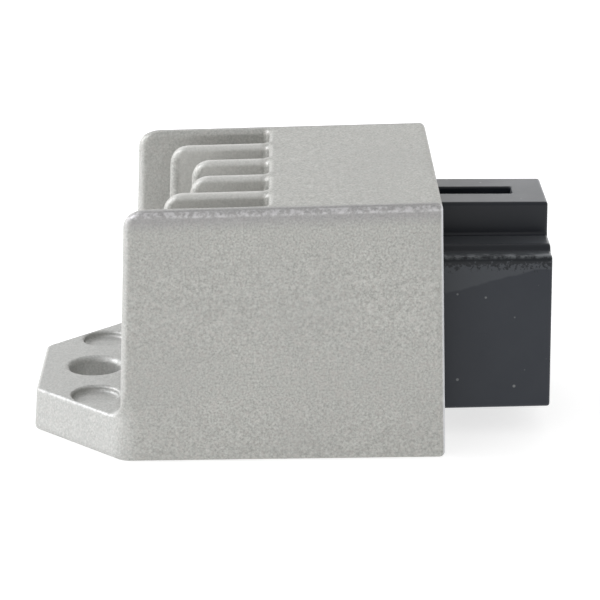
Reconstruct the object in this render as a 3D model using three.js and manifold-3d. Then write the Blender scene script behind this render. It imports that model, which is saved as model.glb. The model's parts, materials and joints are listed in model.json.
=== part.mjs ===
// Finned voltage regulator and rectifier: a die-cast housing with a bolt tab, potted with epoxy
// around its electronics, and a plug socket with four blade terminals.
//
// Millimetres, +Z up. X runs from the bolt tab (-X) to the plug socket (+X), Y = 0 is the mid-plane,
// and Z = 0 is the flat mounting face. The origin is at the centre of the whole object's footprint.

import * as THREE from "three";
import { mergeVertices } from "three/addons/utils/BufferGeometryUtils.js";
import Module from "manifold-3d";

const wasm = await Module();
wasm.setup();

// ---------------------------------------------------------------- driving dimensions

const GAP = 0.3; // between pieces that touch
const CUT = 2; // how far a cutting shape runs past the face that it opens
const OVERLAP = 1; // how far joined shapes reach into each other
const SLIVER = 0.05; // keeps two shapes from sharing a face

const TAB_REACH = 13.1; // from the body's base to the tab's tip
const BODY_LENGTH = 46.3; // at the base
const SOCKET_REACH = 15.6; // from the body's base to the socket's mouth
const OVERALL_LENGTH = TAB_REACH + BODY_LENGTH + SOCKET_REACH;

const TAB_TIP_X = -OVERALL_LENGTH / 2;
const BODY_X0 = TAB_TIP_X + TAB_REACH;
const BODY_X1 = BODY_X0 + BODY_LENGTH;
const MOUTH_X = BODY_X1 + SOCKET_REACH;

const BODY_WIDTH = 47.2; // along Y, at the base
const HEIGHT_TAB_END = 36.6;
const HEIGHT_PLUG_END = 37.3;
const DRAFT_TAB_END = 0.047; // mm that a face leans in for each mm of height
const DRAFT_PLUG_END = 0.015;
const DRAFT_SIDE = 0.014;
const CORNER_RADIUS = 1.2; // the body's upright edges
const EDGE_BEVEL = 0.5; // round the body's top and base

const TAB_THICKNESS = 6.3; // the groove floors lie level with the tab's top
const TAB_TIP_WIDTH = 19.2;
const TAB_DRAFT = 0.072;
const TAB_EDGE_BEVEL = 0.4;
const BOLT_HOLE_RADIUS = 3.7; // clearance for an M6 bolt
const BOLT_RIM_RADIUS = 4.7;
const BOLT_INSET = 4.6; // from the body's base
const DIMPLE_RADIUS = 3.4;
const DIMPLE_DEPTH = 0.9;
const DIMPLE_SPREAD = 12.3; // each side of the mid-plane
const DIMPLE_INSET = 3.8;

const RIB_COUNT = 6; // four fins between two outer walls
const RIB_TOP = 2.2;
const GROOVE_LENGTH = 20.8; // at the floor, from the body's base
const GROOVE_DRAFT = 0.022; // each side
const GROOVE_END_DRAFT = 0.03;
const GROOVE_CORNER_RADIUS = 1.0;
const FIN_SETBACK_OUTER = 5.5; // at the floor, the two fins next to the walls
const FIN_SETBACK_INNER = 9.0; // the two middle fins

const POCKET_X = 0.2; // the pocket's end wall, behind the grooves
const POCKET_WIDTH = 41.6;
const POCKET_Z0 = 2.6;
const POCKET_Z1 = 34.2;
const POCKET_RADIUS = 1.5;
const POTTING_X1 = BODY_X1 - 1.3; // the epoxy's free surface

const SHELL_X0 = 18.2;
const SHELL_WALL = 1.5;
const SHELL_TAPER = 0.13; // each side, over the whole length
const SHELL_HALF_WIDTH = 14.65;
const SHELL_Z0 = 4.05;
const SHELL_SHOULDER_Z = 27.05;
const SHELL_STEP_HALF_WIDTH = 11.7;
const SHELL_STEP_Z = 27.9;
const LATCH_HALF_WIDTH = 6.65;
const LATCH_Z = 32.8;
const SHELL_MID_Z = (SHELL_Z0 + SHELL_SHOULDER_Z) / 2;
const SOCKET_FLOOR_X = 21.0;
const WINDOW_HALF_WIDTH = 1.75; // the latch window in the hump's roof
const WINDOW_X0 = BODY_X1 - 0.6;
const WINDOW_X1 = MOUTH_X - 4.7;
const FLANGE_THICKNESS = 1.5;
const FLANGE_GROWTH = 1.1;

const BLADE_WIDTH = 6.3;
const BLADE_THICKNESS = 0.8;
const BLADE_TIP_X = 34.0;
const BLADE_TIP_WIDTH = 4.4;
const BLADE_TIP_LENGTH = 1.4;
const BLADE_HOLE_RADIUS = 0.8;
const BLADE_HOLE_INSET = 4.6; // from the tip
const BLADE_TAIL_WIDTH = 2.0;
const BLADE_SHOULDER_X = 15.8;
const BLADE_SPREAD_Y = 6.3; // each side of the mid-plane
const BLADE_SPREAD_Z = 4.9; // above and below the socket's middle

const BOARD_X0 = 13.2;
const BOARD_X1 = 14.8;
const BOARD_HALF_WIDTH = 19.0;
const BOARD_Z0 = 4.2;
const BOARD_Z1 = 32.4;
const BOARD_RADIUS = 1.5;
const LEAD_PROUD = 1.2; // leads stand this far through the board
const LEAD_END_X = BOARD_X1 + LEAD_PROUD;

const PAD_X0 = POCKET_X + GAP;
const PAD_THICKNESS = 0.4;
const HEAT_TAB_X0 = PAD_X0 + PAD_THICKNESS + GAP;
const HEAT_TAB_THICKNESS = 1.3;
const THYRISTOR_WIDTH = 10.2;
const THYRISTOR_Z0 = 16.3;
const THYRISTOR_CASE_HEIGHT = 9.2;
const THYRISTOR_TAB_HEIGHT = 15.2;
const THYRISTOR_CASE_THICKNESS = 3.1;
const THYRISTOR_HOLE_RADIUS = 1.8;
const THYRISTOR_LEAD_PITCH = 2.54;
const THYRISTOR_LEAD_X = 4.2;
const THYRISTOR_LEAD_Z = 13.2; // where the leads turn towards the board
const THYRISTOR_LEAD_WIDTH = 0.8;
const THYRISTOR_LEAD_THICKNESS = 0.5;
const THYRISTOR_LEAD_BEND = 1.2;
const THYRISTOR_HOLE_INSET = 3.0;
const THYRISTOR_YS = [-12.5, 1.5];
const LEAD_GRIP = 1.6; // how far a lead reaches into its case
const PAD_MARGIN = 0.9; // pad beyond the heat tab on every side

const CAN_RADIUS = 3.15;
const CAN_X0 = 2.0;
const CAN_X1 = 12.7;
const CAN_AXIS = { y: 13.5, z: 23.0 };
const CAN_SEAL_DEPTH = 1.4;
const CAN_WALL = 0.3;
const CAN_LEAD_PITCH = 2.5;
const CAN_LEAD_RADIUS = 0.3;
const CAN_LEAD_GRIP = 0.5;

const FILM_CENTRE = { y: 13.5, z: 9.6 };
const FILM_HALF_SIZE = { y: 3.6, z: 1.25 };
const FILM_HEIGHT = 6.5; // off the board
const FILM_LEAD_PITCH = 5.0;

const TRANSISTOR_CENTRE = { y: 13.5, z: 15.6 };
const TRANSISTOR_RADIUS = 2.3;
const TRANSISTOR_FLAT = 1.3; // from the axis to the flat face
const TRANSISTOR_X0 = 6.0;
const TRANSISTOR_X1 = 10.6;
const TRANSISTOR_LEG_PITCH = 1.27;
const TRANSISTOR_LEG_SIZE = 0.45;

const STANDOFF = 0.5; // between a part's body and the board
const AXIAL_LEAD_PITCH = 10.16;
const AXIAL_LEAD_BEND = 0.9;

// ---------------------------------------------------------------- materials

function finish(color, roughness, metalness) {
  return new THREE.MeshStandardMaterial({ color, roughness, metalness, flatShading: true });
}

const CAST_ALUMINIUM = finish(0xb4b3af, 0.55, 0.85);
const BLACK_PLASTIC = finish(0x33373a, 0.5, 0.0);
const EPOXY = finish(0x141416, 0.25, 0.0);
const TINNED_BRASS = finish(0xc9c4b4, 0.3, 1.0);
const BOARD_GREEN = finish(0x1f5a36, 0.45, 0.0);
const MOULDED_CASE = finish(0x1c1c1e, 0.6, 0.0);
const TINNED_COPPER = finish(0xc0bdb6, 0.35, 1.0);
const SILICONE_PAD = finish(0x9aa0a6, 0.8, 0.0);
const CAN_SLEEVE = finish(0x20262e, 0.35, 0.1);
const SEAL_RUBBER = finish(0x111111, 0.8, 0.0);
const FILM_CASE = finish(0x8c2f1f, 0.4, 0.0);
const DIODE_CASE = finish(0x202022, 0.5, 0.0);
const ZENER_GLASS = finish(0xb5652a, 0.2, 0.0);
const RESISTOR_COAT = finish(0xc7ac7c, 0.5, 0.0);

// ---------------------------------------------------------------- solids and booleans

function toSolid(geometry) {
  const bare = geometry.clone();
  bare.deleteAttribute("normal");
  bare.deleteAttribute("uv");
  const merged = mergeVertices(bare, 1e-4);
  const vertProperties = new Float32Array(merged.attributes.position.array);
  const corners = Array.from(merged.index.array);
  const kept = [];
  for (let i = 0; i < corners.length; i += 3) {
    const [a, b, c] = corners.slice(i, i + 3);
    if (a !== b && b !== c && c !== a) {
      kept.push(a, b, c);
    }
  }
  const triVerts = new Uint32Array(kept);
  return new wasm.Manifold(new wasm.Mesh({ numProp: 3, vertProperties, triVerts }));
}

function toGeometry(solid) {
  const mesh = solid.getMesh();
  const geometry = new THREE.BufferGeometry();
  geometry.setAttribute("position", new THREE.BufferAttribute(new Float32Array(mesh.vertProperties), 3));
  geometry.setIndex(new THREE.BufferAttribute(new Uint32Array(mesh.triVerts), 1));
  geometry.computeVertexNormals();
  return geometry;
}

function joined(solids) {
  return solids.reduce((whole, solid) => whole.add(solid));
}

function cutAway(solid, cutters) {
  return cutters.reduce((left, cutter) => left.subtract(cutter), solid);
}

// A box between two corners, grown outwards on every side.
function block([x0, y0, z0], [x1, y1, z1], grow = 0) {
  const geometry = new THREE.BoxGeometry(x1 - x0 + 2 * grow, y1 - y0 + 2 * grow, z1 - z0 + 2 * grow);
  geometry.translate((x0 + x1) / 2, (y0 + y1) / 2, (z0 + z1) / 2);
  return toSolid(geometry);
}

// A round bar from one end to the other along "x", "y" or "z".
function rod(axis, centre, radius, from, to, sides = 16, topRadius = radius) {
  const geometry = new THREE.CylinderGeometry(topRadius, radius, to - from, sides);
  if (axis === "x") {
    geometry.rotateZ(-Math.PI / 2);
  }
  if (axis === "z") {
    geometry.rotateX(Math.PI / 2);
  }
  const middle = new THREE.Vector3(centre.x ?? 0, centre.y ?? 0, centre.z ?? 0);
  middle[axis] = (from + to) / 2;
  geometry.translate(middle.x, middle.y, middle.z);
  return toSolid(geometry);
}

// The skin over a stack of rings that all have the same number of points, listed anticlockwise as
// seen from the last ring. flat() gives the two coordinates that triangulate an end cap.
function loft(rings, flat) {
  const count = rings[0].length;
  const positions = rings.flat().flatMap((point) => [point.x, point.y, point.z]);
  const indices = [];
  for (let ring = 0; ring < rings.length - 1; ring++) {
    for (let i = 0; i < count; i++) {
      const a = ring * count + i;
      const b = ring * count + ((i + 1) % count);
      indices.push(a, b, b + count, a, b + count, a + count);
    }
  }
  const capTriangles = THREE.ShapeUtils.triangulateShape(rings[0].map(flat), []);
  const lastRing = (rings.length - 1) * count;
  for (const [a, b, c] of capTriangles) {
    indices.push(c, b, a);
    indices.push(lastRing + a, lastRing + b, lastRing + c);
  }
  const geometry = new THREE.BufferGeometry();
  geometry.setAttribute("position", new THREE.Float32BufferAttribute(positions, 3));
  geometry.setIndex(indices);
  return toSolid(geometry);
}

const seenFromAbove = (point) => new THREE.Vector2(point.x, point.y);
const seenFromMouth = (point) => new THREE.Vector2(point.y, point.z);

// Anticlockwise outline of a rectangle with round corners, as 2D points.
function roundedRectangle(x0, y0, x1, y1, radius, segments = 4) {
  const shape = new THREE.Shape();
  shape.moveTo(x1, y0 + radius);
  shape.lineTo(x1, y1 - radius);
  shape.absarc(x1 - radius, y1 - radius, radius, 0, Math.PI / 2);
  shape.lineTo(x0 + radius, y1);
  shape.absarc(x0 + radius, y1 - radius, radius, Math.PI / 2, Math.PI);
  shape.lineTo(x0, y0 + radius);
  shape.absarc(x0 + radius, y0 + radius, radius, Math.PI, 1.5 * Math.PI);
  shape.lineTo(x1 - radius, y0);
  shape.absarc(x1 - radius, y0 + radius, radius, 1.5 * Math.PI, 2 * Math.PI);
  return uniquePoints(shape.getPoints(segments / 2));
}

function uniquePoints(points) {
  const kept = points.filter((point, i) => i === 0 || point.distanceTo(points[i - 1]) > 1e-6);
  if (kept[0].distanceTo(kept[kept.length - 1]) < 1e-6) {
    kept.pop();
  }
  return kept;
}

// A bar of any section along a run of straight stretches, with a section at every point of the run.
class Wire extends THREE.Curve {
  constructor(points) {
    super();
    this.points = points;
  }

  getPoint(t, target = new THREE.Vector3()) {
    const place = t * (this.points.length - 1);
    const i = Math.min(Math.floor(place), this.points.length - 2);
    return target.lerpVectors(this.points[i], this.points[i + 1], place - i);
  }

  getUtoTmapping(u) {
    return u;
  }
}

function roundSection(radius) {
  return new THREE.Shape().absarc(0, 0, radius, 0, 2 * Math.PI);
}

function rectangularSection(width, height) {
  return new THREE.Shape([
    new THREE.Vector2(-width / 2, -height / 2),
    new THREE.Vector2(width / 2, -height / 2),
    new THREE.Vector2(width / 2, height / 2),
    new THREE.Vector2(-width / 2, height / 2),
  ]);
}

function sweep(section, points) {
  const path = new Wire(points);
  const options = { extrudePath: path, steps: points.length - 1, curveSegments: 3 };
  return toSolid(new THREE.ExtrudeGeometry(section, options));
}

// Points of a path with each inner corner cut by a short arc of the given radius.
function bent(corners, radius, stepsPerBend = 3) {
  const points = [corners[0]];
  for (let i = 1; i < corners.length - 1; i++) {
    const before = corners[i - 1].clone().sub(corners[i]).setLength(radius).add(corners[i]);
    const after = corners[i + 1].clone().sub(corners[i]).setLength(radius).add(corners[i]);
    const bend = new THREE.QuadraticBezierCurve3(before, corners[i], after);
    points.push(...bend.getPoints(stepsPerBend));
  }
  points.push(corners[corners.length - 1]);
  return points;
}

const at = (x, y, z) => new THREE.Vector3(x, y, z);

// ---------------------------------------------------------------- housing

function bodyTop(x) {
  const along = (x - BODY_X0) / BODY_LENGTH;
  return HEIGHT_TAB_END + (HEIGHT_PLUG_END - HEIGHT_TAB_END) * along;
}

// The body's outline at a height, pulled in by a bevel.
function bodyRing(heightAt, inset) {
  const level = heightAt(0);
  const x0 = BODY_X0 + DRAFT_TAB_END * level + inset;
  const x1 = BODY_X1 - DRAFT_PLUG_END * level - inset;
  const half = BODY_WIDTH / 2 - DRAFT_SIDE * level - inset;
  const outline = roundedRectangle(x0, -half, x1, half, CORNER_RADIUS - inset / 2);
  return outline.map((point) => at(point.x, point.y, heightAt(point.x)));
}

function bodyBlock() {
  const rings = [
    bodyRing(() => 0, EDGE_BEVEL),
    bodyRing(() => EDGE_BEVEL, 0),
    bodyRing((x) => bodyTop(x) - EDGE_BEVEL, 0),
    bodyRing((x) => bodyTop(x), EDGE_BEVEL),
  ];
  return loft(rings, seenFromAbove);
}

// The tab's outline: a straight tip and 45 degree sides that run out into the body's corners.
function tabRing(z, inset) {
  const lean = TAB_DRAFT * z + inset;
  const tip = TAB_TIP_X + lean;
  const tipHalf = TAB_TIP_WIDTH / 2 - lean * Math.tan(Math.PI / 8);
  const rootHalf = BODY_WIDTH / 2 - DRAFT_SIDE * z - inset - SLIVER;
  const root = tip + rootHalf - tipHalf;
  const inside = BODY_X0 + GROOVE_LENGTH;
  return [
    at(tip, tipHalf, z),
    at(tip, -tipHalf, z),
    at(root, -rootHalf, z),
    at(inside, -rootHalf, z),
    at(inside, rootHalf, z),
    at(root, rootHalf, z),
  ];
}

function tabPlate() {
  const rings = [
    tabRing(0, TAB_EDGE_BEVEL),
    tabRing(TAB_EDGE_BEVEL, 0),
    tabRing(TAB_THICKNESS - TAB_EDGE_BEVEL, 0),
    tabRing(TAB_THICKNESS, TAB_EDGE_BEVEL),
  ];
  return loft(rings, seenFromAbove);
}

const RIBS_TOP_WIDTH = BODY_WIDTH - 2 * DRAFT_SIDE * HEIGHT_TAB_END;
const RIB_PITCH = (RIBS_TOP_WIDTH - RIB_TOP) / (RIB_COUNT - 1);

function ribCentre(index) {
  return (index - (RIB_COUNT - 1) / 2) * RIB_PITCH;
}

// A drafted slot between two heights, wider at the top.
function slot(y, x0, x1) {
  const rise = HEIGHT_PLUG_END + CUT - TAB_THICKNESS;
  const topHalf = (RIB_PITCH - RIB_TOP) / 2;
  const floorHalf = topHalf - GROOVE_DRAFT * (HEIGHT_PLUG_END - TAB_THICKNESS);
  const rings = [0, rise].map((height) => {
    const half = floorHalf + GROOVE_DRAFT * height;
    const end = x1 + GROOVE_END_DRAFT * height;
    const outline = roundedRectangle(x0, y - half, end, y + half, GROOVE_CORNER_RADIUS);
    return outline.map((point) => at(point.x, point.y, TAB_THICKNESS + height));
  });
  return loft(rings, seenFromAbove);
}

// The space in front of a fin, as wide as the fin and half a groove each side.
function finSetback(y, setback) {
  const rise = HEIGHT_PLUG_END + CUT - TAB_THICKNESS;
  const half = RIB_PITCH / 2 + SLIVER;
  const rings = [0, rise].map((height) => {
    const end = BODY_X0 + setback + DRAFT_TAB_END * height;
    const z = TAB_THICKNESS + height;
    const start = BODY_X0 - CUT;
    return [at(start, y + half, z), at(start, y - half, z), at(end, y - half, z), at(end, y + half, z)];
  });
  return loft(rings, seenFromAbove);
}

function grooves() {
  const cutters = [];
  for (let i = 0; i < RIB_COUNT - 1; i++) {
    const y = (ribCentre(i) + ribCentre(i + 1)) / 2;
    cutters.push(slot(y, BODY_X0 - CUT, BODY_X0 + GROOVE_LENGTH));
  }
  for (let i = 1; i < RIB_COUNT - 1; i++) {
    const nextToWall = i === 1 || i === RIB_COUNT - 2;
    cutters.push(finSetback(ribCentre(i), nextToWall ? FIN_SETBACK_OUTER : FIN_SETBACK_INNER));
  }
  return joined(cutters);
}

function pocket() {
  const half = POCKET_WIDTH / 2;
  const ends = [POCKET_X, BODY_X1 + CUT];
  const outline = roundedRectangle(-half, POCKET_Z0, half, POCKET_Z1, POCKET_RADIUS);
  const rings = ends.map((x) => outline.map((point) => at(x, point.x, point.y)));
  return loft(rings, seenFromMouth);
}

function boltHole() {
  const centre = { x: BODY_X0 - BOLT_INSET, y: 0 };
  const sides = 32;
  const rimDepth = BOLT_RIM_RADIUS - BOLT_HOLE_RADIUS;
  const coneTop = TAB_THICKNESS + rimDepth;
  const coneRadius = BOLT_RIM_RADIUS + rimDepth;
  const bevel = rod("z", centre, BOLT_HOLE_RADIUS, TAB_THICKNESS - rimDepth, coneTop, sides, coneRadius);
  return rod("z", centre, BOLT_HOLE_RADIUS, -CUT, TAB_THICKNESS + CUT, sides).add(bevel);
}

function dimple(y) {
  const centre = { x: BODY_X0 - DIMPLE_INSET, y };
  return rod("z", centre, DIMPLE_RADIUS, TAB_THICKNESS - DIMPLE_DEPTH, TAB_THICKNESS + CUT, 24);
}

function housing() {
  const casting = cutAway(bodyBlock(), [grooves()]).add(tabPlate());
  return cutAway(casting, [pocket(), boltHole(), dimple(-DIMPLE_SPREAD), dimple(DIMPLE_SPREAD)]);
}

// ---------------------------------------------------------------- plug socket

// The shell's stepped outline, seen from the mouth, offset inwards by a wall thickness.
function shellOutline(inset) {
  const half = SHELL_HALF_WIDTH - inset;
  const step = SHELL_STEP_HALF_WIDTH - inset;
  const latch = LATCH_HALF_WIDTH - inset;
  const right = [
    [half, SHELL_Z0 + inset],
    [half, SHELL_SHOULDER_Z - inset],
    [step, SHELL_SHOULDER_Z - inset],
    [step, SHELL_STEP_Z - inset],
    [latch, SHELL_STEP_Z - inset],
    [latch, LATCH_Z - inset],
  ];
  const left = right.map(([y, z]) => [-y, z]).reverse();
  return [...right, ...left];
}

// The outline carried along X, drawn in towards the shell's middle as it nears the mouth.
function shellPrism(inset, x0, x1) {
  const rings = [x0, x1].map((x) => {
    const along = (x - BODY_X1) / (MOUTH_X - BODY_X1);
    const scale = 1 - (SHELL_TAPER / SHELL_HALF_WIDTH) * along;
    return shellOutline(inset).map(([y, z]) => at(x, y * scale, SHELL_MID_Z + (z - SHELL_MID_Z) * scale));
  });
  return loft(rings, seenFromMouth);
}

function latchWindow() {
  const low = [WINDOW_X0, -WINDOW_HALF_WIDTH, LATCH_Z - SHELL_WALL - OVERLAP];
  const high = [WINDOW_X1, WINDOW_HALF_WIDTH, LATCH_Z + CUT];
  return block(low, high);
}

function connectorShell() {
  const outside = shellPrism(0, SHELL_X0, MOUTH_X);
  const flange = shellPrism(-FLANGE_GROWTH, SHELL_X0, SHELL_X0 + FLANGE_THICKNESS);
  const cavity = shellPrism(SHELL_WALL, SOCKET_FLOOR_X, MOUTH_X + CUT);
  const slots = bladePlaces().map((place) => bladeSolid(place, GAP));
  return cutAway(outside.add(flange), [cavity, latchWindow(), ...slots]);
}

function shellSpace() {
  const skirt = shellPrism(-GAP, SHELL_X0 - GAP, BODY_X1 + CUT);
  const flange = shellPrism(-FLANGE_GROWTH - GAP, SHELL_X0 - GAP, SHELL_X0 + FLANGE_THICKNESS + GAP);
  return skirt.add(flange);
}

// ---------------------------------------------------------------- blade terminals

function bladePlaces() {
  const places = [];
  for (const z of [SHELL_MID_Z + BLADE_SPREAD_Z, SHELL_MID_Z - BLADE_SPREAD_Z]) {
    for (const y of [-BLADE_SPREAD_Y, BLADE_SPREAD_Y]) {
      places.push({ y, z });
    }
  }
  return places;
}

// A flat blade with a chamfered tip and a narrow tail that is soldered through the board.
function bladeSolid({ y, z }, grow = 0) {
  const tail = BLADE_TAIL_WIDTH / 2 + grow;
  const half = BLADE_WIDTH / 2 + grow;
  const tipHalf = BLADE_TIP_WIDTH / 2 + grow;
  const upper = [
    [BOARD_X0 - LEAD_PROUD - grow, tail],
    [BLADE_SHOULDER_X - grow, tail],
    [BLADE_SHOULDER_X - grow, half],
    [BLADE_TIP_X - BLADE_TIP_LENGTH, half],
    [BLADE_TIP_X + grow, tipHalf],
  ];
  const lower = upper.map(([x, offset]) => [x, -offset]).reverse();
  const outline = [...upper, ...lower];
  const shape = new THREE.Shape(outline.map(([x, offset]) => new THREE.Vector2(x, offset)));
  const thickness = BLADE_THICKNESS + 2 * grow;
  const geometry = new THREE.ExtrudeGeometry(shape, { depth: thickness, bevelEnabled: false });
  geometry.translate(0, y, z - thickness / 2);
  const holeCentre = { x: BLADE_TIP_X - BLADE_HOLE_INSET, y };
  const hole = rod("z", holeCentre, BLADE_HOLE_RADIUS, z - BLADE_THICKNESS, z + BLADE_THICKNESS, 12);
  return grow > 0 ? toSolid(geometry) : cutAway(toSolid(geometry), [hole]);
}

function bladeSpace({ y, z }) {
  const half = BLADE_WIDTH / 2 + GAP;
  const rise = BLADE_THICKNESS / 2 + GAP;
  return block([BOARD_X1, y - half, z - rise], [SHELL_X0, y + half, z + rise]);
}

// ---------------------------------------------------------------- thyristors on the end wall

const CASE_X0 = HEAT_TAB_X0 + HEAT_TAB_THICKNESS + GAP;
const CASE_X1 = CASE_X0 + THYRISTOR_CASE_THICKNESS;
const THYRISTOR_Z1 = THYRISTOR_Z0 + THYRISTOR_TAB_HEIGHT;

function thermalPad(y) {
  const half = THYRISTOR_WIDTH / 2 + PAD_MARGIN;
  const low = [PAD_X0, y - half, THYRISTOR_Z0 - PAD_MARGIN];
  const high = [PAD_X0 + PAD_THICKNESS, y + half, THYRISTOR_Z1 + PAD_MARGIN];
  return block(low, high);
}

// One lead: down out of the case, then round a bend and through the board.
function thyristorLead(y, topZ, grow = 0) {
  const corners = [
    at(THYRISTOR_LEAD_X, y, topZ + grow),
    at(THYRISTOR_LEAD_X, y, THYRISTOR_LEAD_Z),
    at(LEAD_END_X, y, THYRISTOR_LEAD_Z),
  ];
  const section = rectangularSection(THYRISTOR_LEAD_THICKNESS + 2 * grow, THYRISTOR_LEAD_WIDTH + 2 * grow);
  return sweep(section, bent(corners, THYRISTOR_LEAD_BEND));
}

// The heat tab and the centre lead are one piece of copper, cranked inside the case.
function heatTab(y, grow = 0) {
  const half = THYRISTOR_WIDTH / 2;
  const plateX1 = HEAT_TAB_X0 + HEAT_TAB_THICKNESS;
  const plate = block([HEAT_TAB_X0, y - half, THYRISTOR_Z0], [plateX1, y + half, THYRISTOR_Z1], grow);
  const crankZ = THYRISTOR_Z0 + LEAD_GRIP;
  const crankHalf = THYRISTOR_LEAD_WIDTH / 2;
  const crankLow = [plateX1 - OVERLAP, y - crankHalf, crankZ - THYRISTOR_LEAD_THICKNESS];
  const crankHigh = [THYRISTOR_LEAD_X + THYRISTOR_LEAD_THICKNESS / 2, y + crankHalf, crankZ];
  const crank = block(crankLow, crankHigh, grow);
  const holeCentre = { y, z: THYRISTOR_Z1 - THYRISTOR_HOLE_INSET };
  const hole = rod("x", holeCentre, THYRISTOR_HOLE_RADIUS, HEAT_TAB_X0 - CUT, plateX1 + CUT, 20);
  const solid = joined([plate, crank, thyristorLead(y, crankZ, grow)]);
  return grow > 0 ? solid : cutAway(solid, [hole]);
}

function thyristorPieces(y) {
  const half = THYRISTOR_WIDTH / 2;
  const sideLeads = [y - THYRISTOR_LEAD_PITCH, y + THYRISTOR_LEAD_PITCH];
  const gripZ = THYRISTOR_Z0 + LEAD_GRIP;
  const caseZ1 = THYRISTOR_Z0 + THYRISTOR_CASE_HEIGHT;
  const moulding = block([CASE_X0, y - half, THYRISTOR_Z0], [CASE_X1, y + half, caseZ1]);
  const inserts = [heatTab(y, GAP), ...sideLeads.map((leadY) => thyristorLead(leadY, gripZ, GAP))];
  return {
    case: cutAway(moulding, inserts),
    heat_tab: heatTab(y),
    gate_lead: thyristorLead(sideLeads[0], gripZ),
    cathode_lead: thyristorLead(sideLeads[1], gripZ),
  };
}

// The pad lies on the housing's end wall, so its space in the epoxy is open on that side.
function thyristorSpace(y) {
  const half = THYRISTOR_WIDTH / 2 + GAP;
  const padHalf = half + PAD_MARGIN;
  const z0 = THYRISTOR_Z0 - GAP;
  const z1 = THYRISTOR_Z1 + GAP;
  const caseZ1 = THYRISTOR_Z0 + THYRISTOR_CASE_HEIGHT + GAP;
  const padX1 = PAD_X0 + PAD_THICKNESS + GAP;
  const tabX1 = HEAT_TAB_X0 + HEAT_TAB_THICKNESS + GAP;
  const leadsHalf = THYRISTOR_LEAD_PITCH + THYRISTOR_LEAD_WIDTH / 2 + GAP;
  const leadsX0 = THYRISTOR_LEAD_X - THYRISTOR_LEAD_THICKNESS / 2 - GAP;
  const leadsZ0 = THYRISTOR_LEAD_Z - THYRISTOR_LEAD_THICKNESS / 2 - GAP;
  const leadsZ1 = THYRISTOR_LEAD_Z + THYRISTOR_LEAD_BEND;
  return joined([
    block([PAD_X0 - CUT, y - padHalf, z0 - PAD_MARGIN], [padX1, y + padHalf, z1 + PAD_MARGIN]),
    block([PAD_X0, y - half, z0], [tabX1, y + half, z1]),
    block([PAD_X0, y - half, z0], [CASE_X1 + GAP, y + half, caseZ1]),
    block([leadsX0, y - leadsHalf, leadsZ0], [CASE_X1, y + leadsHalf, z0 + CUT]),
    block([leadsX0, y - leadsHalf, leadsZ0], [BOARD_X1, y + leadsHalf, leadsZ1]),
  ]);
}

function thyristorPins(y) {
  const radius = THYRISTOR_LEAD_WIDTH / Math.SQRT2 + GAP / 2;
  return [-1, 0, 1].map((side) => ({ y: y + side * THYRISTOR_LEAD_PITCH, z: THYRISTOR_LEAD_Z, radius }));
}

// ---------------------------------------------------------------- capacitors

function pair(centre, pitch, radius) {
  return [-1, 1].map((side) => ({ y: centre.y + (side * pitch) / 2, z: centre.z, radius }));
}

const CAN_PINS = pair(CAN_AXIS, CAN_LEAD_PITCH, CAN_LEAD_RADIUS);
const FILM_PINS = pair(FILM_CENTRE, FILM_LEAD_PITCH, CAN_LEAD_RADIUS);

function canLead(pin, grow = 0) {
  const from = CAN_X1 - CAN_SEAL_DEPTH - CAN_LEAD_GRIP - grow;
  return rod("x", pin, pin.radius + grow, from, LEAD_END_X, 8);
}

// A metal can that is closed by a rubber seal, with both leads through the seal.
function electrolyticPieces() {
  const sealX0 = CAN_X1 - CAN_SEAL_DEPTH;
  const sealRadius = CAN_RADIUS - CAN_WALL - GAP;
  const mouth = rod("x", CAN_AXIS, sealRadius + GAP, sealX0 - GAP, CAN_X1 + CUT, 20);
  const leadSpaces = CAN_PINS.map((pin) => canLead(pin, GAP));
  return {
    can: cutAway(rod("x", CAN_AXIS, CAN_RADIUS, CAN_X0, CAN_X1, 20), [mouth, ...leadSpaces]),
    seal: cutAway(rod("x", CAN_AXIS, sealRadius, sealX0, CAN_X1, 20), leadSpaces),
    leads: CAN_PINS.map((pin) => canLead(pin)),
  };
}

function electrolyticSpace() {
  return rod("x", CAN_AXIS, CAN_RADIUS + 2 * GAP, CAN_X0 - GAP, BOARD_X1, 12);
}

// A boxed film capacitor on two straight leads.
function filmCapacitor() {
  const x1 = BOARD_X0 - STANDOFF;
  const { y, z } = FILM_CENTRE;
  const half = FILM_HALF_SIZE;
  const body = block([x1 - FILM_HEIGHT, y - half.y, z - half.z], [x1, y + half.y, z + half.z]);
  return joined([body, ...FILM_PINS.map((pin) => rod("x", pin, pin.radius, x1 - OVERLAP, LEAD_END_X, 8))]);
}

function filmSpace() {
  const { y, z } = FILM_CENTRE;
  const half = FILM_HALF_SIZE;
  const low = [BOARD_X0 - STANDOFF - FILM_HEIGHT, y - half.y, z - half.z];
  return block(low, [BOARD_X1, y + half.y, z + half.z], GAP);
}

// ---------------------------------------------------------------- axial diodes and resistors

const DIODE = { radius: 1.35, length: 5.2, wire: 0.4, material: DIODE_CASE };
const ZENER = { radius: 0.95, length: 4.2, wire: 0.27, material: ZENER_GLASS };
const RESISTOR = { radius: 1.2, length: 6.3, wire: 0.3, waist: 1.02, material: RESISTOR_COAT };

const AXIAL_PARTS = {
  diode_1: { ...DIODE, y: -12.3, z: 7.0 },
  diode_2: { ...DIODE, y: 0.8, z: 7.0 },
  zener_diode_1: { ...ZENER, y: -12.3, z: 26.4 },
  zener_diode_2: { ...ZENER, y: 0.8, z: 26.4 },
  resistor_1: { ...RESISTOR, y: -12.3, z: 30.0 },
  resistor_2: { ...RESISTOR, y: 0.8, z: 30.0 },
  resistor_3: { ...RESISTOR, y: 13.3, z: 30.0 },
  resistor_4: { ...RESISTOR, y: -12.3, z: 17.6 },
};

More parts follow.
